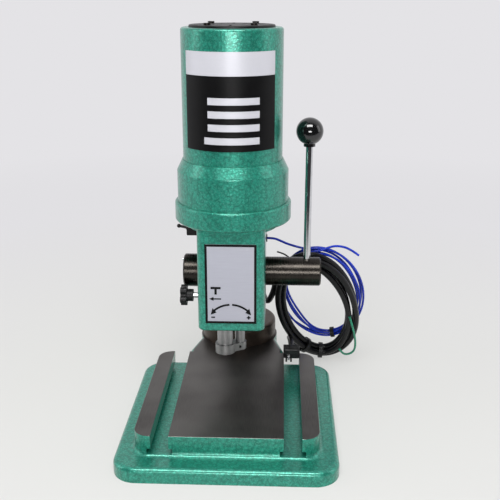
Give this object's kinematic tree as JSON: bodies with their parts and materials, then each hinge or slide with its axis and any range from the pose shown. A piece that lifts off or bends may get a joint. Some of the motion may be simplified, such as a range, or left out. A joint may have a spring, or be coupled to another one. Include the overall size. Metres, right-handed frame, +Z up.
{
  "type": "paper drill",
  "caption": "Bench paper drill: T-slot base, round column, head with a lever-fed quill, gear housing, vertical motor, depth dial, lock knob and coiled leads",
  "frame": {"origin": "centre of the base's underside, on the bench", "axes": "+X to the operator's right, +Y away from the operator towards the column, +Z up along the spindle and motor axes"},
  "size_m": [0.2798, 0.342, 0.4432],
  "materials": {
    "green_enamel": "green hammertone enamel over cast iron and steel",
    "dark_iron": "dark machined cast iron",
    "black_steel": "black-oxide steel",
    "ground_steel": "ground steel",
    "gunmetal_steel": "dark turned steel",
    "black_plastic": "black moulded plastic",
    "label_aluminium": "satin aluminium plate",
    "cast_aluminium": "cast aluminium",
    "lamination_steel": "laminated electrical steel",
    "enamelled_copper": "enamelled copper wire",
    "bronze": "sintered bronze",
    "chrome": "bright chrome plate",
    "gloss_black": "glossy black phenolic",
    "black_rubber": "black rubber cable jacket",
    "blue_plastic": "blue PVC wire insulation",
    "green_plastic": "green PVC wire insulation"
  },
  "bodies": {
    "stand": {"base": "green_enamel", "column_flange": "dark_iron", "column_flange_screws": "black_steel", "column_tube": "ground_steel", "column_cap": "black_plastic", "head_casting": "green_enamel", "column_clamp_bolts": "black_steel", "depth_plate": "label_aluminium", "gear_housing": "green_enamel", "housing_screws": "black_steel", "gear_bearings": "ground_steel", "motor_casing": "green_enamel", "motor_end_cap": "black_plastic", "end_cap_screws": "black_steel", "motor_end_shield": "cast_aluminium", "end_shield_screws": "black_steel", "motor_bearings": "ground_steel", "motor_stator": "lamination_steel", "stator_windings": "enamelled_copper", "motor_nameplate": "label_aluminium", "rod_bush": "bronze", "pinion_bushes": "bronze", "dial_screw": "gunmetal_steel", "switch_body": "black_plastic", "cable_gland": "black_plastic", "power_cable": "black_rubber", "power_cable_coil": "black_rubber", "cable_tail": "black_rubber", "power_connector": "black_plastic", "wire_grommet": "black_rubber", "control_wire": "blue_plastic", "control_wire_coil": "blue_plastic", "wire_tail": "blue_plastic", "earth_wire": "green_plastic", "coil_ties": "black_plastic"},
    "motor_rotor": {"motor_shaft": "ground_steel", "rotor_core": "lamination_steel", "motor_fan": "black_plastic", "motor_pinion": "ground_steel"},
    "drive_gear": {"spindle_drive_gear": "ground_steel"},
    "quill_slide_set": {"quill": "ground_steel", "spindle_bushes": "bronze", "depth_collar": "ground_steel", "collar_grub_screw": "black_steel", "depth_rod": "ground_steel"},
    "spindle_set": {"spindle": "ground_steel", "spindle_nut": "black_steel"},
    "lever": {"pinion_shaft": "ground_steel", "lever_hub": "gunmetal_steel", "hub_grub_screw": "black_steel", "lever_rod": "chrome", "ball_knob": "gloss_black"},
    "dial": {"depth_dial": "gunmetal_steel", "dial_pin": "chrome"},
    "lock": {"lock_stud": "chrome", "lock_knob": "black_plastic"},
    "toggle": {"toggle_lever": "black_plastic"}
  },
  "joints": [
    {"name": "motor_spin", "type": "hinge", "parent": "stand", "child": "motor_rotor", "pos_m": [0, 0.00507, 0.3], "axis": [0, 0, 1], "continuous": true},
    {"name": "gear_spin", "type": "hinge", "parent": "stand", "child": "drive_gear", "pos_m": [-0.009, -0.015, 0.23], "axis": [0, 0, 1], "continuous": true},
    {"name": "lever_turn", "type": "hinge", "parent": "stand", "child": "lever", "pos_m": [0.02, 0.008, 0.1667], "axis": [1, 0, 0], "range_deg": [0, 90], "stiffness_Nm_per_rad": 0.1, "springref_deg": -85.94},
    {"name": "quill_feed", "type": "slide", "parent": "stand", "child": "quill_slide_set", "axis": [0, 0, -1], "range_m": [0, 0.02]},
    {"name": "spindle_spin", "type": "hinge", "parent": "quill_slide_set", "child": "spindle_set", "pos_m": [-0.009, -0.015, 0.15], "axis": [0, 0, 1], "continuous": true},
    {"name": "dial_turn", "type": "hinge", "parent": "stand", "child": "dial", "pos_m": [-0.047, 0.008, 0.1667], "axis": [1, 0, 0], "range_deg": [-150, 150]},
    {"name": "lock_turn", "type": "hinge", "parent": "stand", "child": "lock", "pos_m": [-0.04, -0.015, 0.1443], "axis": [1, 0, 0], "range_deg": [-90, 90]},
    {"name": "toggle_flip", "type": "hinge", "parent": "stand", "child": "toggle", "pos_m": [-0.0548, 0.036, 0.209], "axis": [0, 1, 0], "range_deg": [-24, 0]}
  ],
  "couplings": [
    {"joint": "gear_spin", "follows": "motor_spin", "ratio": -0.57143},
    {"joint": "spindle_spin", "follows": "motor_spin", "ratio": -0.57143},
    {"joint": "quill_feed", "follows": "lever_turn", "m_per_rad": 0.012}
  ]
}
